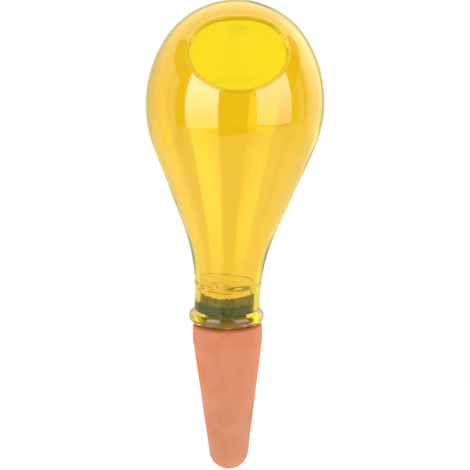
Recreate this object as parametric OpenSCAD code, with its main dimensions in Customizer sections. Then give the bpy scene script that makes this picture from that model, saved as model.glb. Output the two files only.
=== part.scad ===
// Plant watering bulb: a hand-blown glass reservoir with a filling hole in its
// shoulder, held by a rubber seal on a hollow clay cone that goes into the soil.
// Heights are measured from the top face of the clay shoulder, which is the soil line.

/* [Bulb] */
// Widest diameter of the glass bulb
bulb_d = 95; // [88:0.5:106]
// Height of the widest place above the shoulder
equator_h = 123; // [112:1:136]
// How much smaller the radius of the dome is than that of the bulb
dome_drop = 0.8; // [0.4:0.1:2]
// Radius of the curve down the side of the bulb
side_r = 83; // [76:1:90]
// Slope of the straight taper under the bulb, from upright, in degrees
taper = 23; // [20:0.5:26]
// Thickness of the blown wall
wall = 1.6; // [1:0.1:2.6]
// How far the bulb leans over its neck, in degrees
lean = 2.5; // [0:0.5:6]

/* [Neck] */
// Outer diameter of the straight neck
neck_d = 35.4; // [33.5:0.1:39]
// Inner diameter of the neck, where the seal sits
neck_bore = 30; // [27:0.1:32]
// Height of straight neck above the top of the seal
neck_spare = 1; // [0.5:0.1:4]
// Height of straight bore above the straight neck, where the wall is thickest
bore_spare = 3; // [1:0.5:8]
// Outer diameter of the rolled lip
lip_d = 40.8; // [39:0.1:44]
// Radius of the rolled lip's section
lip_r = 3.6; // [3:0.1:4.4]

/* [Filling hole] */
// Widest distance straight across the hole
hole_w = 53.5; // [46:0.5:60]
// Straight distance from the widest line to the hole's upper edge
hole_up = 19; // [18.5:0.5:24]
// Straight distance from the widest line to the hole's lower edge
hole_down = 24.5; // [22:0.5:29]
// Radius of the hole's two ends
hole_end_r = 16.4; // [10:0.2:16.6]
// Direction of the widest line above level, seen from the dome's centre, in degrees
hole_tilt = 40; // [36:0.5:46]
// Radius of the fire-polished bead round the hole
rim_r = 1.25; // [1.2:0.05:1.8]

/* [Rubber seal] */
// Height of the seal above the shoulder, at its front
seal_h = 16; // [12:0.5:20]
// Height of the thinner band along the seal's top
seal_band_h = 4.4; // [2:0.2:6]
// Thickness of that band
seal_band_t = 1.3; // [0.8:0.1:2]
// How steeply the back half of the seal's top falls away, in degrees
seal_fall = 28; // [0:1:32]

/* [Clay cone] */
// Diameter of the cone at its shoulder
cone_d = 38; // [36:0.5:42]
// Length of the cone from the shoulder to its tip
cone_len = 83.3; // [70:0.5:110]
// Height of the straight part under the shoulder
shoulder_h = 9; // [5:0.5:16]
// Radius that rounds the edge of the shoulder
edge_r = 2.4; // [1:0.1:3]
// Radius of the rounded tip
tip_r = 10.7; // [8:0.1:12]
// Diameter of the spigot that carries the seal
spigot_d = 24.4; // [21:0.1:25]
// Height of the spigot above the shoulder
spigot_h = 8; // [6:0.5:9]
// Thickness of the cast clay wall
clay_wall = 4.2; // [3:0.1:5.5]

/* [Fits] */
// Gap round the seal, to the glass and to the spigot
seal_gap = 0.1; // [0.05:0.05:0.3]
// Gap between the lip and the clay shoulder
seat_gap = 0.1; // [0.05:0.05:0.3]

/* [Hidden] */
$fn = 144;
glass_colour = [0.98, 0.80, 0.16, 0.5];
seal_colour = [0.22, 0.22, 0.19];
clay_colour = [0.88, 0.58, 0.43];

// Curves of the bulb, seen in section
dome_r = bulb_d / 2 - dome_drop;
side_x = bulb_d / 2 - side_r;
dome_h = equator_h + sqrt(pow(side_r - dome_r, 2) - pow(side_x, 2));
dome_turn = atan2(dome_h - equator_h, -side_x);
// Middle of the dome's wall
wall_r = dome_r - wall / 2;
// Steps along the dome's arc in the outline, and along the arcs of the hole
arc_steps = 24;
long_steps = 12;
end_steps = 8;
// Larger than the whole bulb, for shapes that only bound a region
beyond = bulb_d + side_r;

// Heights on the neck: the leaning bulb meets the upright neck at neck_h
neck_h = seal_h + neck_spare;
flare_h = neck_h + neck_d * tan(lean / 2);
bore_h = flare_h + bore_spare;

// The filling hole is an oval of four arcs on the dome: two ends, a long arc over them and
// one under them. Its sizes become angles at the dome's centre.
hole_end = asin(hole_end_r / dome_r);
hole_side = asin(hole_w / 2 / dome_r) - hole_end;
hole_over = 2 * asin(hole_up / 2 / dome_r);
hole_under = 2 * asin(hole_down / 2 / dome_r);

// How far behind the widest line a long arc has its centre, when it passes at angle g from
// that line and runs smoothly into the ends
function arc_back(g) = atan((cos(g - hole_end) - cos(hole_side)) / sin(g - hole_end));
// Half the sweep of a long arc, and the share of an end arc next to it
function arc_sweep(back) = atan2(sin(hole_side), cos(hole_side) * sin(back));
function end_sweep(back) = atan2(sin(back), sin(hole_side) * cos(back));
back_over = arc_back(hole_over);
back_under = arc_back(hole_under);
// How far pieces of the hole's bead run into each other, in degrees
bead_cover = 0.6;
// A hair's breadth, by which one surface is set back where it would run smoothly into another
hair = 0.02;

// Centre of the cone's rounded tip, and the slope of its side from upright
tip_h = tip_r - cone_len;
side_drop = -shoulder_h - tip_h;
cone_slope = acos(tip_r / norm([cone_d / 2, side_drop])) - atan2(side_drop, cone_d / 2);

// Points on an arc; first = 1 leaves out the point that the curve before it ends on
function arc(centre, r, from, to, steps, first = 1) = [
    for (i = [first : steps])
        let (angle = from + (to - from) * i / steps)
            centre + r * [cos(angle), sin(angle)]
];

// Half outline of the bulb, from its top down into a neck of radius neck_r that is straight
// below straight_h. Inset 0 gives the outside and inset wall the inside.
function bulb_line(inset, neck_r, straight_h) =
    let (
        side = side_r - inset,
        flare = (cos(taper) * (neck_r - side_x) + sin(taper) * (equator_h - straight_h) - side)
            / (1 - cos(taper))
    )
    concat(
        arc([0, dome_h], dome_r - inset, 90, dome_turn, arc_steps, 0),
        arc([side_x, equator_h], side, dome_turn, -taper, arc_steps / 2),
        arc([neck_r + flare, straight_h], flare, 180 - taper, 180, arc_steps / 3),
        [[neck_r, 0]]
    );

function reversed(list) = [for (i = [len(list) - 1 : -1 : 0]) list[i]];

// Turns what follows about the top of the straight neck
module leaning(angle) {
    translate([0, 0, neck_h]) rotate([0, angle, 0]) translate([0, 0, -neck_h]) children();
}

// All that lies above the mitre between the upright neck and the leaning bulb
module above_mitre() {
    leaning(lean / 2) translate([-beyond, -beyond, neck_h]) cube([2 * beyond, 2 * beyond, 2 * beyond]);
}

// Blown bulb, on a neck as wide as the upright one to a hair
module bulb_shell() {
    rotate_extrude() polygon(concat(
        bulb_line(0, neck_d / 2 - hair, flare_h),
        reversed(bulb_line(wall, neck_bore / 2 + hair, bore_h))
    ));
}

// Upright neck, ending in a lip rolled outwards
module neck_shell() {
    lip_h = seat_gap + lip_r;
    rotate_extrude() intersection() {
        union() {
            translate([lip_d / 2 - lip_r, lip_h]) circle(lip_r);
            translate([0, lip_h]) square([neck_d / 2, bore_h - lip_h]);
        }
        translate([neck_bore / 2, 0]) square([lip_d, bore_h]);
    }
}

// Puts the +Z of what follows at the dome's centre, pointing to the front at a tilt above
// level, then turned sideways along the hole's widest line
module from_dome(tilt, turn) {
    translate([0, 0, dome_h]) rotate([90 - tilt, 0, 0]) rotate([0, turn, 0]) children();
}

// Edge of the hole on the middle of the wall, seen straight along the hole's axis, where each
// round arc looks squashed. A long arc runs over (up = 1) or under (up = -1) the widest line,
// and an end arc to its right (side = 1) or left (side = -1).
function long_arc_line(reach, back, up) =
    let (half = reach + back, sweep = arc_sweep(back))
    [
        for (i = [0 : long_steps])
            let (angle = sweep * (1 - 2 * i / long_steps))
                up * wall_r * [
                    sin(half) * sin(angle),
                    sin(half) * cos(angle) * cos(back) - cos(half) * sin(back)
                ]
    ];
function end_arc_line(side) =
    let (low = -end_sweep(back_under), high = end_sweep(back_over))
    [
        for (i = [1 : end_steps - 1])
            let (angle = (low + high) / 2 + side * (high - low) * (i / end_steps - 1 / 2))
                wall_r * [
                    side * (cos(hole_end) * sin(hole_side) + sin(hole_end) * cos(hole_side) * cos(angle)),
                    sin(hole_end) * sin(angle)
                ]
    ];

// Straight punch through the wall, whose edges the bead then covers
module hole_cut() {
    from_dome(hole_tilt, 0) linear_extrude(beyond) polygon(concat(
        long_arc_line(hole_over, back_over, 1),
        end_arc_line(-1),
        long_arc_line(hole_under, back_under, -1),
        end_arc_line(1)
    ));
}

// Bead on the middle of the wall, along an arc at half_angle round a direction
module rim_arc(half_angle, from, to, bead_r) {
    rotate([0, 0, from]) rotate_extrude(angle = to - from)
        translate(wall_r * [sin(half_angle), cos(half_angle)]) circle(bead_r, $fn = 48);
}

// A long arc runs a little way inside the ends, where it is a hair thinner
module long_arc_rim(reach, back, up) {
    middle = up * 90;
    sweep = arc_sweep(back) + bead_cover;
    from_dome(hole_tilt - up * back, 0)
        rim_arc(reach + back, middle - sweep, middle + sweep, rim_r - hair);
}

module hole_rim() {
    long_arc_rim(hole_over, back_over, 1);
    long_arc_rim(hole_under, back_under, -1);
    for (side = [0, 1]) mirror([side, 0, 0]) from_dome(hole_tilt, hole_side)
        rim_arc(hole_end, -end_sweep(back_under), end_sweep(back_over), rim_r);
}

// One piece of blown glass: bulb, neck, rolled lip and the bead round its filling hole
module glass_bulb() color(glass_colour) {
    intersection() {
        leaning(lean) {
            difference() {
                bulb_shell();
                hole_cut();
            }
            hole_rim();
        }
        above_mitre();
    }
    difference() {
        neck_shell();
        above_mitre();
    }
}

// Sleeve between neck and spigot, thinner along its top and lower at its back
module rubber_seal() color(seal_colour) {
    outer_r = neck_bore / 2 - seal_gap;
    inner_r = spigot_d / 2 + seal_gap;
    difference() {
        rotate_extrude() difference() {
            translate([inner_r, 0]) square([outer_r - inner_r, seal_h]);
            translate([0, seal_h - seal_band_h]) square([outer_r - seal_band_t, seal_band_h + 1]);
        }
        translate([0, 0, seal_h]) rotate([-seal_fall, 0, 0]) translate([-beyond, 0, 0])
            cube([2 * beyond, beyond, beyond]);
    }
}

// Area inside the cone's outline, right of its axis: inset 0 gives the outside and inset
// clay_wall the hollow
module cone_area(inset, corner_r) {
    top_r = cone_d / 2 - inset;
    side_top = inset * tan(cone_slope / 2) - shoulder_h;
    ball_r = tip_r - inset;
    tip_centre = [0, tip_h];
    touch = tip_centre + ball_r * [cos(cone_slope), -sin(cone_slope)];
    // Shoulder with its rounded edge
    translate([0, side_top]) square([top_r, -inset - corner_r - side_top]);
    translate([0, -inset - corner_r]) square([top_r - corner_r, corner_r]);
    intersection() {
        translate([top_r - corner_r, -inset - corner_r]) circle(corner_r);
        translate([top_r - corner_r, -inset - corner_r]) square(corner_r);
    }
    // Tapered side
    polygon([tip_centre, touch, [top_r, side_top], [0, side_top]]);
    // Rounded tip
    intersection() {
        translate(tip_centre) circle(ball_r);
        polygon([tip_centre, tip_centre + beyond * [cos(cone_slope), -sin(cone_slope)],
            tip_centre + [0, -2 * beyond]]);
    }
}

// Cast clay cone, hollow from the tip up through its spigot
module clay_cone() color(clay_colour) {
    rotate_extrude() difference() {
        union() {
            cone_area(0, edge_r);
            square([spigot_d / 2, spigot_h]);
        }
        cone_area(clay_wall, edge_r);
        translate([0, -clay_wall - edge_r]) square([spigot_d / 2 - clay_wall, spigot_h + clay_wall + 2 * edge_r]);
    }
}

glass_bulb();
rubber_seal();
clay_cone();
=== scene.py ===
"""A plant watering bulb: yellow blown glass, held by a rubber seal on a terracotta cone.

Lengths of the object are in millimetres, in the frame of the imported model, and become metres
when a mesh is made. Materials and the studio are in metres, with their directions in degrees.
The origin is the middle of the cone's shoulder face, +Z is up and the front is -Y.
"""
from math import acos, atan2, cos, exp, pi, radians, sin, sqrt, tan

import bpy
from mathutils import Matrix, Vector, noise


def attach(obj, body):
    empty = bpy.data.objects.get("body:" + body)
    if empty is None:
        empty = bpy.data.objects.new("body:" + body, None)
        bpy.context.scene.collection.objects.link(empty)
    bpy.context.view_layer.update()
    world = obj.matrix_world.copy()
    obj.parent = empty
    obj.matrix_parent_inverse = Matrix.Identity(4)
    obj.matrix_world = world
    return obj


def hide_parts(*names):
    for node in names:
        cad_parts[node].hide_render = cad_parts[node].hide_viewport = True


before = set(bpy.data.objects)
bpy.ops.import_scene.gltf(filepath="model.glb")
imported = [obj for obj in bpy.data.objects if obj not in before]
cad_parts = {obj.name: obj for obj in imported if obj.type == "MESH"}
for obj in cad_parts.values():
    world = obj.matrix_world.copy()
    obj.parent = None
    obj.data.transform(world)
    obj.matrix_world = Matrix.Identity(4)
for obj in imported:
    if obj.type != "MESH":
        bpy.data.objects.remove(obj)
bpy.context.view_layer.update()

MM = 0.001
# A loop of a mesh has a point at each of these turns, which start at the right
AROUND = 192
TURNS = [2 * pi * i / AROUND for i in range(AROUND)]


# Meshes and profiles


def mesh_object(name, points, faces):
    """A smooth mesh object from points in millimetres."""
    mesh = bpy.data.meshes.new(name)
    mesh.from_pydata([Vector(p) * MM for p in points], [], faces)
    mesh.validate()
    mesh.polygons.foreach_set("use_smooth", [True] * len(mesh.polygons))
    mesh.update()
    obj = bpy.data.objects.new(name, mesh)
    bpy.context.scene.collection.objects.link(obj)
    return obj


def skin(name, loops, cyclic=False):
    """A surface through loops of points. A loop of one point closes the surface there."""
    points, starts, faces = [], [], []
    for loop in loops:
        starts.append(len(points))
        points += loop
    count = len(loops)
    for k in range(count if cyclic else count - 1):
        a, b = loops[k], loops[(k + 1) % count]
        a0, b0 = starts[k], starts[(k + 1) % count]
        around = max(len(a), len(b))
        for i in range(around):
            j = (i + 1) % around
            if len(a) == 1:
                faces.append((a0, b0 + i, b0 + j))
            elif len(b) == 1:
                faces.append((a0 + j, a0 + i, b0))
            else:
                faces.append((a0 + i, b0 + i, b0 + j, a0 + j))
    return mesh_object(name, points, faces)


def ring(radius, height):
    """Horizontal loop round the Z axis."""
    return [Vector((radius * cos(turn), radius * sin(turn), height)) for turn in TURNS]


def arc(centre, radius, start, end, steps, first=0):
    """Points (radius, height) on an arc of a profile, angles in radians."""
    return [
        (
            centre[0] + radius * cos(start + (end - start) * i / steps),
            centre[1] + radius * sin(start + (end - start) * i / steps),
        )
        for i in range(first, steps + 1)
    ]


def line(start, end, steps, first=0):
    """Points on a straight stretch of a profile."""
    return [
        (
            start[0] + (end[0] - start[0]) * i / steps,
            start[1] + (end[1] - start[1]) * i / steps,
        )
        for i in range(first, steps + 1)
    ]


def smooth_step(low, high, value):
    """0 at low, 1 at high and smooth between. Low may be the greater of the two."""
    t = min(1, max(0, (value - low) / (high - low)))
    return t * t * (3 - 2 * t)


def short_way(start, end):
    """Angle from one turn to another, the short way round."""
    return (end - start + pi) % (2 * pi) - pi


def noise_round(turn, scale, place):
    """Noise that closes on itself round the Z axis. Each place along it is another pattern."""
    return noise.noise(Vector((scale * cos(turn), scale * sin(turn), place)))


# Blown glass

# The round of the bulb: a ball above, and an arc of the side through its widest point
DOME_R = 44.95
DOME_H = 132.6
EQUATOR_R = 48.1
EQUATOR_H = 121.85
SIDE_R = 64.8
SIDE_X = EQUATOR_R - SIDE_R
SIDE_RISE = DOME_H - EQUATOR_H
JOIN_LIFT = atan2(SIDE_RISE, -SIDE_X)
CENTRE = Vector((0, 0, DOME_H))
# The straight taper passes by an arc into the straight neck
TAPER = radians(22.2)
FLARE_R = 108.8
NECK_R = 17.72
NECK_TOP = 13.4
BORE_R = 15.0
# The wall is even in the round, and grows to the neck's between these heights
WALL = 1.6
WALL_GROWS = (18, 52)
# Heights of the loops in the straight bore, below its marks
BORE_RINGS = (4, 6, 8, 10, 12)

# The neck's foot turns out into the lip, whose own foot is chamfered up to the bore
NECK_FOOT = 8.07
LIP_BEND_R = 0.4
LIP_SLOPE = radians(46)
LIP_D = 40.8
LIP_H = 3.7
LIP_R = 3.8
LIP_UNDER = radians(-68)
LIP_FOOT_R = 0.9
LIP_FOOT_STEPS = 10
CHAMFER = radians(40)
CHAMFER_STEPS = 6

# The filling hole is an oval of four arcs, as angles at the dome's centre: how far its axis
# looks up, how far it reaches over, under and beside that axis, and the radius of its ends
HOLE_TILT = radians(36.8)
HOLE_OVER = radians(24.8)
HOLE_UNDER = radians(32.2)
HOLE_HALF_W = radians(36.9)
HOLE_END = radians(24.4)
HOLE_MIDDLE = HOLE_TILT - (HOLE_UNDER - HOLE_OVER) / 2

# The bead along the hole, which passes into the wall over its fade, is thickest at the top
RIM_R = 1.05
RIM_TOP_R = 1.5
RIM_FADE = 1.0
RIM_TOP_FADE = 1.6

# Marks of blowing in the bore: a wavy step and a dent; and a dark streak at the front below it,
# painted brown as a painted reflection of the dark seal
STEP_H = 23.4
STEP_DEPTH = 0.6
STEP_W = 0.34
DENT_H = 21.7
DENT_DEPTH = 1.1
DENT_TURN = radians(-72)
DENT_HALF = radians(14)
STREAK_TURN = radians(-71)
STREAK_HALF = radians(27)
RIPPLE_DEPTH = 0.16
# They lie within this height of the step, and no further out than this
MARKED = 6
MARKED_R = NECK_R - 1.4

# Unevenness of the blown walls: its size, its depth and where its pattern starts
OUTER_RIPPLE = (24, 0.05, 3)
INNER_RIPPLE = (17, 0.07, 9)

# The lean of the glass to the right, as slopes below and above a gentle bend. Heights of the
# bend are over the lip, where the axis stands a little to the left.
LEAN_START = -0.5
LOW_LEAN = 0.057
HIGH_LEAN = 0.023
BEND_LOW = 58
BEND_HIGH = 122
# Level rings tilt by this share of the lean, and the tilted lip is lifted to stand on the clay
TILT_SHARE = 0.45
SEAT_LIFT = 0.32

# The lip's foot is thick glass, as deep in colour as this share of the bead
FOOT_SHARE = 0.9


def turned(tilt, spread, turn):
    """Direction at an angle, spread, from an axis that points to the front, tilt above level."""
    x = sin(spread) * cos(turn)
    up = sin(spread) * sin(turn)
    out = cos(spread)
    return Vector((x, up * sin(tilt) - out * cos(tilt), up * cos(tilt) + out * sin(tilt)))


def upper_wall(direction):
    """Where the glass's outside meets a ray from the dome's centre, and its normal there."""
    level = sqrt(direction.x**2 + direction.y**2)
    lift = atan2(direction.z, level)
    if lift >= JOIN_LIFT:
        return CENTRE + direction * DOME_R, direction.copy()
    b = SIDE_X * cos(lift) - SIDE_RISE * sin(lift)
    c = SIDE_X**2 + SIDE_RISE**2 - SIDE_R**2
    reach = b + sqrt(b * b - c)
    point = CENTRE + direction * reach
    radius = reach * cos(lift)
    along = Vector((direction.x, direction.y, 0)) / level
    normal = along * ((radius - SIDE_X) / SIDE_R) + Vector((0, 0, (point.z - EQUATOR_H) / SIDE_R))
    return point, normal


def meets(centre, half, turn):
    """Angle from the hole's axis to a circle on the dome, at a turn round that axis."""
    side = centre[0] * cos(turn) + centre[1] * sin(turn)
    return atan2(side, centre[2]) + acos(min(1, cos(half) / sqrt(side**2 + centre[2]**2)))


def hole_reach(turn):
    """Angle from the hole's axis to its edge: an oval of two ends and two long arcs."""
    side = HOLE_HALF_W - HOLE_END
    reach = HOLE_OVER if sin(turn) >= 0 else HOLE_UNDER
    back = atan2(cos(reach - HOLE_END) - cos(side), sin(reach - HOLE_END))
    turn_in_quarter = atan2(abs(sin(turn)), abs(cos(turn)))
    sweep = atan2(sin(side), cos(side) * sin(back))
    half = reach + back
    corner_x = sin(half) * sin(sweep)
    corner_y = sin(half) * cos(sweep) * cos(back) - cos(half) * sin(back)
    if turn_in_quarter > atan2(corner_y, corner_x):
        return meets((0, -sin(back), cos(back)), half, turn_in_quarter)
    return meets((sin(side), 0, cos(side)), HOLE_END, turn_in_quarter)


def smoothed_reach(turn):
    """The hole's reach at a turn, averaged a little so that arcs pass smoothly into arcs."""
    blur = radians(9)
    steps = 4
    near = [hole_reach(turn + blur * k / steps) for k in range(-steps, steps + 1)]
    return sum(near) / len(near)


def rim_section(turn):
    """The bead's section at a turn: distance from its middle line, half thickness, and share."""
    top = smooth_step(0.1, 0.95, sin(turn))
    rim_r = RIM_R + (RIM_TOP_R - RIM_R) * top
    rim_fade = RIM_FADE + (RIM_TOP_FADE - RIM_FADE) * top
    section = []
    round_steps = 9
    for i in range(round_steps + 1):
        angle = pi / 2 * i / round_steps
        section.append((-rim_r * cos(angle), rim_r * sin(angle), 1))
    fade_steps = 8
    for i in range(1, fade_steps + 1):
        away = rim_fade * i / fade_steps
        fade = 1 - smooth_step(0, rim_fade, away)
        section.append((away, WALL / 2 + (rim_r - WALL / 2) * fade, fade))
    return section


def wall_at(height):
    """Thickness of the wall, which grows into the neck."""
    neck_wall = NECK_R - BORE_R
    return WALL + (neck_wall - WALL) * (1 - smooth_step(*WALL_GROWS, height))


def lower_profile(fine_steps):
    """Outside of the glass from the dome centre's height down to the neck, with its normals.

    The last stretch of the flare, beside the marks in the bore, has steps of its own.
    """
    points = []
    side_steps, line_steps, flare_steps = 26, 30, 22
    fine = radians(8.5)
    top = atan2(SIDE_RISE, sqrt(SIDE_R**2 - SIDE_RISE**2))
    for r, z in arc((SIDE_X, EQUATOR_H), SIDE_R, top, -TAPER, side_steps):
        points.append((r, z, (r - SIDE_X) / SIDE_R, (z - EQUATOR_H) / SIDE_R))
    last = points[-1]
    flare_x = NECK_R + FLARE_R
    foot = (flare_x - FLARE_R * cos(TAPER), NECK_TOP + FLARE_R * sin(TAPER))
    for r, z in line(last[:2], foot, line_steps, 1):
        points.append((r, z, cos(TAPER), -sin(TAPER)))
    for start, end, steps in ((TAPER, fine, flare_steps), (fine, 0, fine_steps)):
        for r, z in arc((flare_x, NECK_TOP), FLARE_R, pi - start, pi - end, steps, 1):
            points.append((r, z, (flare_x - r) / FLARE_R, (NECK_TOP - z) / FLARE_R))
    return points


def lip_profile():
    """Round the lip, from the end of the straight neck outside to the bore."""
    edge = (LIP_D / 2 - LIP_R, LIP_H)
    from_edge = LIP_R - LIP_FOOT_R
    foot = (edge[0] + from_edge * cos(LIP_UNDER), edge[1] + from_edge * sin(LIP_UNDER))
    points = line((NECK_R, NECK_TOP), (NECK_R, NECK_FOOT), 3, 1)
    points += arc((NECK_R + LIP_BEND_R, NECK_FOOT), LIP_BEND_R, pi, pi + LIP_SLOPE, 10, 1)
    points += arc(edge, LIP_R, LIP_SLOPE, LIP_UNDER, 30)
    points += arc(foot, LIP_FOOT_R, LIP_UNDER, CHAMFER - pi, LIP_FOOT_STEPS, 1)
    r, z = points[-1]
    bore_edge = (BORE_R, z + (r - BORE_R) / tan(CHAMFER))
    return points + line((r, z), bore_edge, CHAMFER_STEPS, 1)


def step_wave(turn):
    """How far the step in the bore strays from its height at a turn."""
    return 0.8 * noise_round(turn, 2, 7.3)


def bore_offset(height, turn):
    """How far the bore stands in at the step, the dent and the ripples.

    The step is a groove at the back and a slight ridge at the front.
    """
    wave = step_wave(turn)
    front = smooth_step(0.1, -0.6, sin(turn))
    step = STEP_DEPTH * (0.95 * front - 0.8) * exp(-(((height - STEP_H - wave) / STEP_W) ** 2))
    step *= smooth_step(0.05, 0.5, abs(sin(turn)))
    across = short_way(DENT_TURN, turn) / DENT_HALF
    dent = DENT_DEPTH * exp(-(across**2) - ((height - DENT_H - 0.3 * wave) / 0.9) ** 2)
    below = STEP_H - height
    within = smooth_step(5.2, 4.2, below) * smooth_step(0, 1.2, below)
    patch = max(0, 0.4 + noise_round(turn, 4, height * 0.5))
    crests = 1 + sin(4.6 * height + 2.5 * noise_round(turn, 3, 1.7))
    return step + dent + RIPPLE_DEPTH * front * within * patch * crests


def painted_seal_reflection(point):
    """How far a painted reflection of the dark seal darkens the glass at a point near the step in
    the bore: an arc behind the step, a streak at the front and ripples at the front left.
    """
    if abs(point.z - STEP_H) > MARKED or sqrt(point.x**2 + point.y**2) > MARKED_R:
        return 0
    turn = atan2(point.y, point.x)
    wave = step_wave(turn)
    back = smooth_step(-0.15, 0.25, sin(turn))
    uneven = 0.55 + 0.9 * noise_round(turn, 3, 2.2)
    over_arc = point.z - STEP_H - wave + 0.7 + cos(turn)
    far_arc = 1.25 * back * uneven * exp(-((over_arc / 0.42) ** 2))
    across = short_way(STREAK_TURN, turn) / STREAK_HALF
    over_streak = point.z - DENT_H - 0.5 - 0.3 * wave
    creases = 1.2 + 1.5 * noise_round(turn, 4, 1.6 * point.z)
    streak = creases * exp(-(across**4) - (over_streak / 1.6) ** 4)
    broken = max(0, 0.25 + noise_round(turn, 5, 1.5 * point.z))
    left = smooth_step(-0.1, -0.5, sin(turn)) * smooth_step(0.35, -0.2, cos(turn))
    ripples = 1.1 * left * broken * exp(-(((over_streak - 1.8) / 2.2) ** 4))
    return min(1, max(0, far_arc + streak + ripples))


def bend(height):
    """How far the glass's axis has drifted to the right at a height, and its slope there."""
    rise = height - LIP_H
    inside = min(max(rise - BEND_LOW, 0), BEND_HIGH - BEND_LOW)
    drop = (LOW_LEAN - HIGH_LEAN) / (BEND_HIGH - BEND_LOW)
    shift = LEAN_START + LOW_LEAN * rise - drop * inside**2 / 2
    shift -= (LOW_LEAN - HIGH_LEAN) * max(rise - BEND_HIGH, 0)
    return shift, LOW_LEAN - drop * inside


def bent(point):
    """A point of the upright glass, moved to where the leaning glass has it."""
    shift, slope = bend(point.z)
    lift = SEAT_LIFT * (1 - smooth_step(10, 60, point.z))
    return Vector((point.x + shift, point.y, point.z - slope * TILT_SHARE * point.x + lift))


def rippled(loops, size, depth, seed):
    """Loops moved in and out a little from the dome's centre, as blown glass is uneven."""
    start = Vector((seed, 0, 0))
    return [
        [p + (p - CENTRE).normalized() * (depth * noise.noise(p / size + start)) for p in loop]
        for loop in loops
    ]


def marked(point, turn):
    """A point of the glass's inside, moved to where the marks of blowing have it."""
    if abs(point.z - STEP_H) >= MARKED:
        return point
    return point - Vector((cos(turn), sin(turn), 0)) * bore_offset(point.z, turn)


def dome_loop(tilt, spreads, heights):
    """A loop round a tilted axis on the glass's outside, lifted from it at each point."""
    loop = []
    for (spread, turn), height in zip(spreads, heights):
        point, normal = upper_wall(turned(tilt, spread, turn))
        loop.append(point + normal * height)
    return loop


def hole_edge():
    """The hole's edge, as angles from and round an axis through the middle of the hole."""
    edge = []
    for turn in TURNS:
        aim = turned(HOLE_TILT, smoothed_reach(turn), turn)
        up = aim.y * sin(HOLE_MIDDLE) + aim.z * cos(HOLE_MIDDLE)
        out = -aim.y * cos(HOLE_MIDDLE) + aim.z * sin(HOLE_MIDDLE)
        edge.append((acos(out), atan2(up, aim.x)))
    return edge


def dome_loops():
    """Loops of the outside and inside, from the bead out to level rings round the dome's centre.

    With them come the shares by which the first loops belong to the bead, from 1 to 0.
    """
    outer, inner, shares = [], [], []
    edge = hole_edge()
    for parts in zip(*[rim_section(turn) for turn in TURNS]):
        aways, halves, part_shares = zip(*parts)
        spreads = [(spread + away / DOME_R, turn) for (spread, turn), away in zip(edge, aways)]
        outer.append(dome_loop(HOLE_MIDDLE, spreads, [half - WALL / 2 for half in halves]))
        inner.append(dome_loop(HOLE_MIDDLE, spreads, [-half - WALL / 2 for half in halves]))
        shares.append(part_shares[0])
    bead_end = spreads
    steps = 56
    for k in range(1, steps + 1):
        share = k / steps
        tilt = HOLE_MIDDLE + (pi / 2 - HOLE_MIDDLE) * share
        spreads = []
        for even, (spread, turn) in zip(TURNS, bead_end):
            drift = short_way(even, turn) * (1 - share)
            spreads.append((spread + (pi / 2 - spread) * share, even + drift))
        outer.append(dome_loop(tilt, spreads, [0] * AROUND))
        inner.append(dome_loop(tilt, spreads, [-WALL] * AROUND))
    return outer, inner, shares


def glass_loops():
    """Loops of the glass, from the bead's inmost line over the outside, lip and inside back.

    With each loop comes how far it is thick glass, in the bead or the lip's foot, from 1 to 0.
    """
    outer, inner, shares = dome_loops()
    outer += [ring(*point[:2]) for point in lower_profile(12)[1:]]
    for r, z, out, up in lower_profile(64)[1:]:
        wall = wall_at(z)
        inner.append(ring(r - out * wall, z - up * wall))
    inner = [[marked(point, turn) for point, turn in zip(loop, TURNS)] for loop in inner]
    outer = rippled(outer, *OUTER_RIPPLE)
    inner = rippled(inner, *INNER_RIPPLE)
    outer[0] = inner[0] = [(a + b) / 2 for a, b in zip(outer[0], inner[0])]
    lip = [ring(r, z) for r, z in lip_profile()]
    bore = [ring(BORE_R, z) for z in BORE_RINGS]

    foot_loops = LIP_FOOT_STEPS + CHAMFER_STEPS
    outer_shares = shares + [0] * (len(outer) - len(shares))
    lip_shares = [0] * (len(lip) - foot_loops) + [FOOT_SHARE] * foot_loops
    bore_shares = [0] * len(bore)
    inner_shares = shares + [0] * (len(inner) - len(shares))
    loops = outer + lip + bore + inner[:0:-1]
    return loops, outer_shares + lip_shares + bore_shares + inner_shares[:0:-1]


def point_values(obj, name, values):
    """Gives each point of a mesh a value, which a material reads by its name."""
    obj.data.attributes.new(name, "FLOAT", "POINT").data.foreach_set("value", values)


def make_glass():
    """The glass, with values for the amber of its thick places and for the painted reflection of
    the seal in its bore.
    """
    loops, shares = glass_loops()
    obj = skin("bulb_glass", [[bent(p) for p in loop] for loop in loops], cyclic=True)
    depths = [0.45 + 0.55 * smooth_step(-0.1, 0.8, sin(turn)) for turn in TURNS]
    point_values(obj, "bead", [share * depth for share in shares for depth in depths])
    # Where the bore is painted brown: a painted reflection of the dark seal
    point_values(obj, "seal_reflection_paint", [painted_seal_reflection(point) for loop in loops for point in loop])
    return obj


# Rubber seal

SEAL_R = 14.85
SEAL_INNER_R = 12.3
SEAL_H = 16.4
SEAL_FOOT = 3.0
# The top rises to the right, and falls towards the back
SEAL_RISE = 1.1
SEAL_FALL = 9.0
# This high below its top, the sleeve is a thin band
SEAL_BAND = 4.1
SEAL_BAND_WALL = 1.1
# Below its upper band the seal is pressed against the glass, but not on the right
PRESSED_R = 15.05
PRESSED_H = 12.7
PRESSED_FOOT = 4.8


def seal_top(turn):
    """Ragged top of the seal: torn on the left of its front, and lower at its back."""
    back = smooth_step(-0.2, 1, sin(turn))
    torn = smooth_step(0.25, 0.0, cos(turn))
    ragged = 0.9 * noise_round(turn, 6, 0) + 1.0 * noise_round(turn, 21, 84)
    slant = SEAL_RISE * smooth_step(-0.1, 0.8, cos(turn))
    return SEAL_H + slant - SEAL_FALL * back + ragged * (0.08 + torn)


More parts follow.
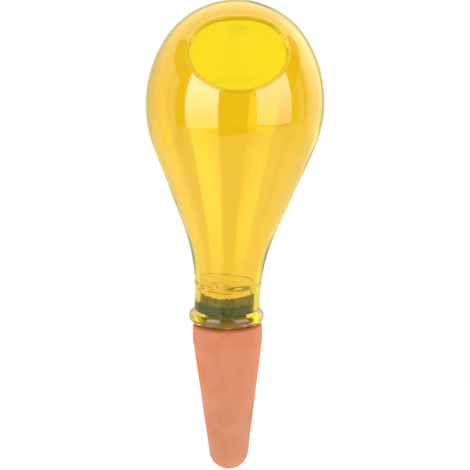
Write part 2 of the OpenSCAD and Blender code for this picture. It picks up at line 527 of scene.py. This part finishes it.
def seal_side(turn, height):
    """Radius of the seal's outside: folded where it is loose, and else pressed on the glass."""
    loose = SEAL_R - 0.16 - 0.16 * noise_round(turn, 9, height * 0.12)
    top = PRESSED_H + 0.7 * noise_round(turn, 3, 5)
    pressed = smooth_step(top + 0.35, top - 0.35, height)
    pressed *= smooth_step(PRESSED_FOOT - 0.3, PRESSED_FOOT + 0.3, height)
    pressed *= smooth_step(0.68, 0.60, cos(turn))
    return loose + (PRESSED_R - loose) * pressed


def make_seal():
    """The sleeve: up its outside, over its thin band, and down its inside."""
    tops = [seal_top(turn) for turn in TURNS]
    rows = []
    steps = 44
    for k in range(steps + 1):
        heights = [SEAL_FOOT + (top - SEAL_FOOT) * (k / steps) for top in tops]
        rows.append([(seal_side(turn, z), z) for turn, z in zip(TURNS, heights)])
    band_r = SEAL_R - SEAL_BAND_WALL
    rows.append([(band_r, top) for top in tops])
    rows.append([(band_r, top - SEAL_BAND + 0.3) for top in tops])
    rows.append([(SEAL_INNER_R, top - SEAL_BAND) for top in tops])
    rows.append([(SEAL_INNER_R, SEAL_FOOT)] * AROUND)
    loops = [
        [bent(Vector((r * cos(turn), r * sin(turn), z))) for turn, (r, z) in zip(TURNS, row)]
        for row in rows
    ]
    obj = skin("seal_sleeve", loops, cyclic=True)
    obj.data.flip_normals()
    return obj


# Terracotta cone

CONE_R = 19.0
CONE_LEN = 83.3
# The side is upright from here up to its rounded edge
SHOULDER_H = 9.0
EDGE_R = 2.4
TIP_R = 10.7
SPIGOT_R = 12.2
SPIGOT_H = 8.0
CLAY_WALL = 4.2


def cone_line(inset):
    """Profile of the cone's side from its tip up to the rounded edge of its shoulder."""
    tip_h = TIP_R - CONE_LEN
    drop = -SHOULDER_H - tip_h
    slope = acos(TIP_R / sqrt(CONE_R**2 + drop**2)) - atan2(drop, CONE_R)
    ball = TIP_R - inset
    side_top = inset * tan(slope / 2) - SHOULDER_H
    touch = (ball * cos(slope), tip_h - ball * sin(slope))
    points = arc((0, tip_h), ball, -pi / 2, -slope, 16)
    points += line(touch, (CONE_R - inset, side_top), 46, 1)
    points += line((CONE_R - inset, side_top), (CONE_R - inset, -inset - EDGE_R), 5, 1)
    return points + arc((CONE_R - inset - EDGE_R, -inset - EDGE_R), EDGE_R, 0, pi / 2, 8, 1)


def make_clay():
    """The hollow cone with its spigot, a little uneven where it shows."""
    bore_r = SPIGOT_R - CLAY_WALL
    outside = cone_line(0) + line((CONE_R - EDGE_R, 0), (SPIGOT_R, 0), 4, 1)
    uneven = len(outside) - 1
    outside += line((SPIGOT_R, 0), (SPIGOT_R, SPIGOT_H), 5, 1)
    outside += line((SPIGOT_R, SPIGOT_H), (bore_r, SPIGOT_H), 4, 1)
    inside = cone_line(CLAY_WALL) + [(bore_r, -CLAY_WALL)]
    loops = []
    for k, (r, z) in enumerate(outside + inside[::-1]):
        if r < 0.001:
            loops.append([Vector((0, 0, z))])
            continue
        loop = []
        for p in ring(r, z):
            swell = 0.16 * noise.noise(p / 15) + 0.05 * noise.noise(p / 3) if k < uneven else 0
            loop.append(p + Vector((p.x, p.y, 0)).normalized() * swell)
        loops.append(loop)
    obj = skin("clay_body", loops)
    obj.data.flip_normals()
    return obj


# Materials

WHITE = (1, 1, 1, 1)
GLASS_YELLOW = (0.955, 0.737, 0.019, 1)
THICK_AMBER = (0.78, 0.52, 0.008, 1)
THICK_GLOSS = (1, 0.86, 0.3, 1)
# Brown of the painted reflection of the dark seal in the bore
PAINTED_REFLECTION_BROWN = (0.20, 0.17, 0.04, 1)
# How much less clear the bead is than the rest of the glass
THICK_CLOUD = 0.75

# Each pair is a darker and a paler tone, between which a pattern blends
PRESSED_RUBBER = (0.075, 0.105, 0.10, 1), (0.15, 0.21, 0.19, 1)
BAND_RUBBER = (0.13, 0.14, 0.045, 1), (0.32, 0.37, 0.13, 1)
UPPER_CLAY = (0.725, 0.235, 0.105, 1), (0.745, 0.285, 0.145, 1)
LOWER_CLAY = (0.655, 0.245, 0.125, 1), (0.685, 0.295, 0.175, 1)
# Darker, redder clay at the top: painted shade where the glass lip sits on the cone
PAINTED_CONTACT_SHADE = (0.70, 0.17, 0.085, 1)
PALE_SPECKS = (0.75, 0.34, 0.20, 1)
DARK_GRAIN = (0.60, 0.20, 0.11, 1)


class Nodes:
    """Short way to add and link shader nodes."""

    def __init__(self, tree):
        self.tree = tree
        tree.nodes.clear()

    def add(self, kind, inputs=None, **settings):
        node = self.tree.nodes.new(kind)
        for key, value in settings.items():
            setattr(node, key, value)
        for key, value in (inputs or {}).items():
            self.fill(node.inputs[key], value)
        return node

    def fill(self, socket, value):
        """Links a socket to another one, or gives it a plain value."""
        if isinstance(value, bpy.types.NodeSocket):
            self.tree.links.new(value, socket)
        else:
            socket.default_value = value

    def math(self, operation, a, b=0.0):
        return self.add("ShaderNodeMath", {0: a, 1: b}, operation=operation).outputs[0]

    def times(self, first, *others):
        """The product of values."""
        for other in others:
            first = self.math("MULTIPLY", first, other)
        return first

    def rest(self, value, share=1.0):
        """What is left of 1 when a share of a value is taken from it."""
        return self.math("SUBTRACT", 1.0, self.times(value, share))

    def plus(self, base, *parts):
        """A value plus parts, each given with its weight."""
        for weight, part in parts:
            base = self.math("ADD", self.times(part, weight), base)
        return base

    def blend(self, factor, a, b):
        """From number a to number b as the factor goes from 0 to 1."""
        return self.math("ADD", self.times(factor, b), self.times(a, self.rest(factor)))

    def step(self, value, low, high):
        """0 below low, 1 above high and smooth between."""
        node = self.add(
            "ShaderNodeMapRange",
            {"Value": value, "From Min": low, "From Max": high},
            interpolation_type="SMOOTHSTEP",
        )
        return node.outputs[0]

    def between(self, value, low, high, soft):
        """1 from low to high and 0 outside, with soft edges."""
        rise = self.step(value, low - soft, low + soft)
        return self.times(rise, self.step(value, high + soft, high - soft))

    def azimuth(self, x, y):
        """Direction in degrees, from the front round to the right."""
        return self.times(self.math("ARCTAN2", x, self.times(y, -1.0)), 180 / pi)

    def reach(self, x, y):
        """Distance from the object's axis."""
        return self.math("SQRT", self.math("ADD", self.times(x, x), self.times(y, y)))

    def mix(self, factor, a, b):
        """From colour a to colour b as the factor goes from 0 to 1."""
        node = self.add("ShaderNodeMix", data_type="RGBA")
        for name, value in (("Factor_Float", factor), ("A_Color", a), ("B_Color", b)):
            self.fill(next(s for s in node.inputs if s.identifier == name), value)
        return next(s for s in node.outputs if s.identifier == "Result_Color")

    def noise(self, coordinates, scale, detail=4.0, roughness=0.55):
        return self.add(
            "ShaderNodeTexNoise",
            {"Vector": coordinates, "Scale": scale, "Detail": detail, "Roughness": roughness},
        ).outputs["Fac"]

    def place(self):
        """Place in the object's own coordinates, which are in metres."""
        return self.add("ShaderNodeTexCoord").outputs["Object"]

    def axes(self, place):
        """A place's or a direction's parts along the three axes."""
        return self.add("ShaderNodeSeparateXYZ", {0: place}).outputs

    def matt(self, colour, roughness, height, strength):
        """A matt surface with a fine relief from a pattern, as the material's output."""
        bump = self.add(
            "ShaderNodeBump", {"Strength": strength, "Distance": 0.0004, "Height": height}
        )
        shader = self.add(
            "ShaderNodeBsdfPrincipled",
            {"Base Color": colour, "Roughness": roughness, "Normal": bump.outputs[0]},
        )
        self.add("ShaderNodeOutputMaterial", {"Surface": shader.outputs[0]})


def material(name):
    made = bpy.data.materials.new(name)
    made.use_nodes = True
    return made, Nodes(made.node_tree)


def glass_material():
    """Clear yellow glass: a cloudier amber where it is thick, and brown where a reflection of the
    dark seal is painted in its bore.
    """
    made, n = material("yellow_glass")
    bead = n.add("ShaderNodeAttribute", attribute_name="bead").outputs["Fac"]
    # The second value says where a reflection of the dark seal is painted in brown
    seal_reflection_paint = n.add("ShaderNodeAttribute", attribute_name="seal_reflection_paint").outputs["Fac"]
    shader = n.add(
        "ShaderNodeBsdfPrincipled",
        {
            "Base Color": n.mix(seal_reflection_paint, n.mix(bead, GLASS_YELLOW, THICK_AMBER), PAINTED_REFLECTION_BROWN),
            "Specular Tint": n.mix(bead, WHITE, THICK_GLOSS),
            "IOR": 1.5,
            "Roughness": 0.0,
            "Transmission Weight": n.rest(bead, THICK_CLOUD),
        },
    )
    n.add("ShaderNodeOutputMaterial", {"Surface": shader.outputs[0]})
    return made


def seal_material():
    """Matt rubber: dark where it is pressed on the glass, and paler and folded in its band."""
    made, n = material("grey_rubber")
    place = n.place()
    streaks = n.add("ShaderNodeMapping", {"Vector": place, "Scale": (420, 420, 40)}).outputs[0]
    folds = n.noise(streaks, 1.0, 5.0)
    blotches = n.noise(place, 260.0)
    dark = n.mix(blotches, *PRESSED_RUBBER)
    light = n.mix(n.step(folds, 0.3, 0.7), *BAND_RUBBER)
    wavy_height = n.plus(n.axes(place)["Z"], (0.0016, blotches))
    n.matt(n.mix(n.step(wavy_height, 0.0126, 0.0136), dark, light), 0.6, folds, 0.6)
    return made


def clay_material():
    """Matt terracotta: paler towards its tip, cloudy and grained, with a painted shade, darker
    and redder, at its top where the glass lip sits on it.
    """
    made, n = material("terracotta")
    place = n.place()
    height = n.axes(place)["Z"]
    clouds = n.noise(place, 75.0, 5.0)
    grain = n.noise(place, 900.0, 3.0, 0.7)
    specks = n.noise(place, 420.0, 2.0)
    cloudy = n.step(clouds, 0.35, 0.65)
    upwards = n.step(height, -0.075, -0.005)
    colour = n.mix(upwards, n.mix(cloudy, *LOWER_CLAY), n.mix(cloudy, *UPPER_CLAY))
    # Painted shade at the top, under the glass lip: darker and redder clay
    colour = n.mix(n.step(height, -0.0018, -0.0004), colour, PAINTED_CONTACT_SHADE)
    colour = n.mix(n.step(specks, 0.66, 0.80), colour, PALE_SPECKS)
    colour = n.mix(n.step(grain, 0.62, 0.80), colour, DARK_GRAIN)
    n.matt(colour, 0.92, n.plus(clouds, (0.4, grain)), 0.35)
    return made


# Studio

FLOOR_H = -0.215
FLOOR_HALF = 0.9
TABLE_H = -0.09
TABLE_HALF_W = 0.65
TABLE_FRONT = -0.75
TABLE_BACK = 0.6
BOX_AWAY = 0.6
BOX_TOP = 0.9
# Soft boxes are brightest at this height, and fade above it, between the next two
BOX_BRIGHTEST = 0.36
BOX_FADE = (0.38, 0.50)
BOX_TINT = (1.0, 0.88, 0.97, 1)
# Directions between which each soft box stands, from the front round to the right
LEFT_BOX = (-67.3, -22.5)
RIGHT_BOX = (24.8, 71.8)
# A pale gap in the dark front, just left of the right soft box
GAP = (17.5, 24.8)
# Tints of the backdrop and of the table behind the object, where the glass mirrors them
BACKDROP_TINT = (1.08, 1.0, 0.65, 1)
TABLE_TINT = (1.02, 0.94, 0.6, 1)


def mirror_rays(n):
    """Whether a ray has met a mirror, has passed through glass, and through more than a wall."""
    path = n.add("ShaderNodeLightPath")
    mirrored = n.math("GREATER_THAN", path.outputs["Glossy Depth"], 0.5)
    inside = n.math("GREATER_THAN", path.outputs["Transmission Depth"], 0.5)
    across = n.math("GREATER_THAN", path.outputs["Transmission Depth"], 2.5)
    return mirrored, inside, across


def dark_front(n, azimuth, lift):
    """1 at the dark front, which reaches furthest round about 30 degrees up, and ends at 70."""
    higher = n.step(lift, 29, 46)
    past_left = n.plus(86.0, (42.0, n.step(lift, 15, 29)), (-25.0, higher), (1.0, azimuth))
    past_right = n.plus(84.0, (42.0, n.step(lift, 9, 24)), (-25.0, higher), (-1.0, azimuth))
    return n.times(n.step(past_left, -3, 3), n.step(past_right, -3, 3), n.step(lift, 75, 65))


def side_level(n, azimuth, lift, y):
    """Brightness of the surroundings, apart from the dark front."""
    low_left = n.times(n.between(azimuth, -165, -105, 20), n.step(lift, 22, -4))
    right = n.times(n.plus(0.10, (0.75, n.step(lift, -12, 14))), n.step(lift, 42, 20))
    top_back = n.times(n.step(lift, 8, 30), n.step(y, 0.6, 0.8))
    return n.plus(
        1.25,
        (-0.45, low_left),
        (1.0, n.times(right, n.between(azimuth, 112, 150, 6))),
        # A dim strip on the right is darkest along two lines
        (-0.45, n.between(azimuth, 84, 106, 3)),
        (-0.4, n.between(azimuth, 84, 89, 3)),
        (-0.4, n.between(azimuth, 98, 103, 2)),
        (0.25, top_back),
    )


def studio_world():
    """Pale surroundings. What the glass mirrors also has a dark front and uneven sides."""
    world = bpy.data.worlds.new("studio")
    bpy.context.scene.world = world
    world.use_nodes = True
    n = Nodes(world.node_tree)
    direction = n.add("ShaderNodeTexCoord").outputs["Generated"]
    x, y, z = n.axes(direction)
    azimuth = n.azimuth(x, y)
    lift = n.times(n.math("ARCSINE", z), 180 / pi)
    mirrored, inside, across = mirror_rays(n)
    near = n.math("SUBTRACT", inside, across)

    darkness = n.plus(0.85, (-0.30, inside), (-0.35, near))
    dark = n.rest(dark_front(n, azimuth, lift), darkness)
    level = n.times(side_level(n, azimuth, lift, y), dark, n.rest(near, 0.15))
    # The pale gap shows only in the outside of the glass
    level = n.plus(level, (0.5, n.times(n.between(azimuth, *GAP, 1), n.rest(inside))))
    # The backdrop behind the object is yellower where the glass's outline mirrors it
    down = radians(13)
    towards = n.math("SUBTRACT", n.times(y, cos(down)), n.times(z, sin(down)))
    behind = n.times(mirrored, n.step(towards, cos(radians(34)), cos(radians(27))))
    level = n.blend(behind, level, 0.68)

    # What isn't mirrored is plain white, and lights matt surfaces more from behind
    lit = n.add("ShaderNodeLightPath").outputs["Is Diffuse Ray"]
    side_light = n.plus(0.80, (0.55, n.step(y, -0.5, 0.6)))
    strength = n.blend(lit, n.blend(mirrored, 1.0, level), side_light)
    colour = n.mix(behind, WHITE, BACKDROP_TINT)
    back = n.add("ShaderNodeBackground", {"Color": colour, "Strength": strength})
    n.add("ShaderNodeOutputWorld", {"Surface": back.outputs[0]})


def flat_panel(name, corners):
    """A part of the studio with one face."""
    mesh = bpy.data.meshes.new(name)
    mesh.from_pydata(corners, [], [(0, 1, 2, 3)])
    obj = bpy.data.objects.new(name, mesh)
    bpy.context.scene.collection.objects.link(obj)
    return obj


def mirrored_panel(name, corners, paint):
    """A glowing panel that shows only in mirrors: other rays pass through it."""
    obj = flat_panel(name, corners)
    obj.visible_camera = False
    obj.visible_diffuse = False
    obj.visible_shadow = False
    made, n = material(name)
    made.cycles.emission_sampling = "NONE"
    mirrored, inside, across = mirror_rays(n)
    colour, strength = paint(n, n.axes(n.place()), inside, across)
    glow = n.add("ShaderNodeEmission", {"Color": colour, "Strength": strength})
    clear = n.add("ShaderNodeBsdfTransparent")
    mixed = n.add("ShaderNodeMixShader", {0: mirrored, 1: clear.outputs[0], 2: glow.outputs[0]})
    n.add("ShaderNodeOutputMaterial", {"Surface": mixed.outputs[0]})
    obj.data.materials.append(made)


def soft_box(name, edges, foot, foot_light, head_light, across_share):
    """A tall soft box in front of the object, brightest above the middle of the bulb.

    The glass's inside mirrors it dimly, and its far side less dimly, by across_share.
    """
    left, right = [(BOX_AWAY * sin(radians(a)), -BOX_AWAY * cos(radians(a))) for a in edges]
    corners = [(*left, foot), (*right, foot), (*right, BOX_TOP), (*left, BOX_TOP)]

    def paint(n, axes, inside, across):
        rise = n.step(axes["Z"], foot, BOX_BRIGHTEST)
        fall = n.step(axes["Z"], *BOX_FADE)
        dimmed = n.math("SUBTRACT", n.times(inside, 0.85), n.times(across, across_share))
        level = n.plus(foot_light, (head_light - foot_light, rise))
        level = n.times(level, n.rest(fall, 0.65), n.rest(dimmed))
        return n.mix(inside, BOX_TINT, WHITE), level

    mirrored_panel(name, corners, paint)


def table():
    """The pale table, as the glass mirrors it.

    It is brighter below and left of the soft boxes, and darker towards its front edge.
    """
    brighter = ((LEFT_BOX, 0.35), (RIGHT_BOX, 0.3), ((-105, LEFT_BOX[0]), 0.15))

    def paint(n, axes, inside, across):
        reach = n.reach(axes["X"], axes["Y"])
        azimuth = n.azimuth(axes["X"], axes["Y"])
        level = n.math("SUBTRACT", 1.05, n.times(n.step(reach, 0.2, 0.42), 0.2))
        for edges, more in brighter:
            level = n.plus(level, (more, n.between(azimuth, *edges, 3)))
        aside = n.times(n.math("POWER", n.math("ADD", azimuth, 9.0), 2.0), 0.00012)
        curved = n.math("SUBTRACT", reach, aside)
        for edges, where, far, shade in (
            ((LEFT_BOX[1], RIGHT_BOX[0]), curved, 0.45, 0.8),
            (LEFT_BOX, curved, 0.45, 0.45),
            (RIGHT_BOX, reach, 0.625, 0.7),
        ):
            beyond = n.step(where, far - 0.015, far + 0.015)
            dark = n.times(n.between(azimuth, *edges, 2), beyond)
            level = n.times(level, n.rest(dark, shade))
        far_right = n.times(n.between(azimuth, 110, 152, 6), n.step(reach, 0.3, 0.68))
        behind = n.math("ADD", n.step(azimuth, 138, 148), n.step(azimuth, -138, -148))
        return n.mix(behind, WHITE, TABLE_TINT), n.plus(level, (0.5, far_right))

    corners = [(-TABLE_HALF_W, TABLE_FRONT), (TABLE_HALF_W, TABLE_FRONT)]
    corners += [(TABLE_HALF_W, TABLE_BACK), (-TABLE_HALF_W, TABLE_BACK)]
    mirrored_panel("table", [(x, y, TABLE_H) for x, y in corners], paint)


def floor():
    """Pale floor, well below the cone's tip. It fades into the white backdrop at its edge."""
    half = FLOOR_HALF
    corners = [(-half, -half), (half, -half), (half, half), (-half, half)]
    obj = flat_panel("floor", [(x, y, FLOOR_H) for x, y in corners])
    made, n = material("pale_floor")
    axes = n.axes(n.place())
    edge = n.step(n.reach(axes["X"], axes["Y"]), 0.25, 0.8)
    diffuse = n.add("ShaderNodeBsdfDiffuse", {"Color": (0.82, 0.82, 0.82, 1)})
    glow = n.add("ShaderNodeEmission", {"Strength": 0.2})
    lit = n.add("ShaderNodeAddShader", {0: diffuse.outputs[0], 1: glow.outputs[0]})
    white = n.add("ShaderNodeEmission", {"Strength": 1.0})
    mixed = n.add("ShaderNodeMixShader", {0: edge, 1: lit.outputs[0], 2: white.outputs[0]})
    n.add("ShaderNodeOutputMaterial", {"Surface": mixed.outputs[0]})
    obj.data.materials.append(made)


def lamp(name, place, target, size, watts):
    """A soft lamp that lights surfaces and doesn't show in the glass."""
    light = bpy.data.lights.new(name, "AREA")
    light.size = size
    light.energy = watts
    obj = bpy.data.objects.new(name, light)
    bpy.context.scene.collection.objects.link(obj)
    obj.location = place
    obj.rotation_euler = (Vector(target) - Vector(place)).to_track_quat("-Z", "Y").to_euler()
    obj.visible_glossy = False
    obj.visible_transmission = False


# The photograph is 470 pixels across, and the camera stands 3000 of them away
PHOTO_W = 470
CAMERA_PX = 3000
PIXEL = 0.544 * MM
# How far the camera looks down, how far it stands round to the left, and how it is rolled
CAMERA_LIFT = radians(12.9)
CAMERA_TURN = radians(-2.4)
CAMERA_ROLL = radians(-0.55)
CAMERA_TARGET = Vector((4.6 * MM, 0, 48.9 * MM))


def camera():
    """The photograph's camera."""
    distance = CAMERA_PX * PIXEL
    lift, turn, roll = CAMERA_LIFT, CAMERA_TURN, CAMERA_ROLL
    back = Vector((sin(turn) * cos(lift), -cos(turn) * cos(lift), sin(lift)))
    right = Vector((cos(turn), sin(turn), 0))
    up = back.cross(right)
    right, up = right * cos(roll) + up * sin(roll), up * cos(roll) - right * sin(roll)
    made = bpy.data.cameras.new("camera")
    obj = bpy.data.objects.new("camera", made)
    bpy.context.scene.collection.objects.link(obj)
    made.sensor_width = 36
    made.lens = made.sensor_width * CAMERA_PX / PHOTO_W
    made.clip_end = 20
    turned_to = Matrix((right, up, back)).transposed().to_4x4()
    obj.matrix_world = Matrix.Translation(CAMERA_TARGET + back * distance) @ turned_to
    bpy.context.scene.camera = obj


def dress(obj, made, node):
    """Gives a piece its material, and lets it stand for its solid."""
    obj.data.materials.append(made)
    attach(obj, "root")
    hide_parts(node)


camera()
dress(make_glass(), glass_material(), "glass_bulb")
dress(make_seal(), seal_material(), "rubber_seal")
dress(make_clay(), clay_material(), "clay_cone")
studio_world()
soft_box("soft_box_left", LEFT_BOX, -0.06, 2.9, 9.4, 0.35)
soft_box("soft_box_right", RIGHT_BOX, -0.045, 3.0, 7.0, 0.6)
table()
floor()
lamp("overhead", (0.1, -0.3, 1.0), (0, 0, 0.05), 0.8, 3.0)

bpy.context.scene.view_settings.view_transform = "Standard"

# Light is mirrored to and fro inside thick glass, and would turn black with few bounces
bounces = bpy.context.scene.cycles
bounces.max_bounces = 32
bounces.transmission_bounces = 32
bounces.glossy_bounces = 16
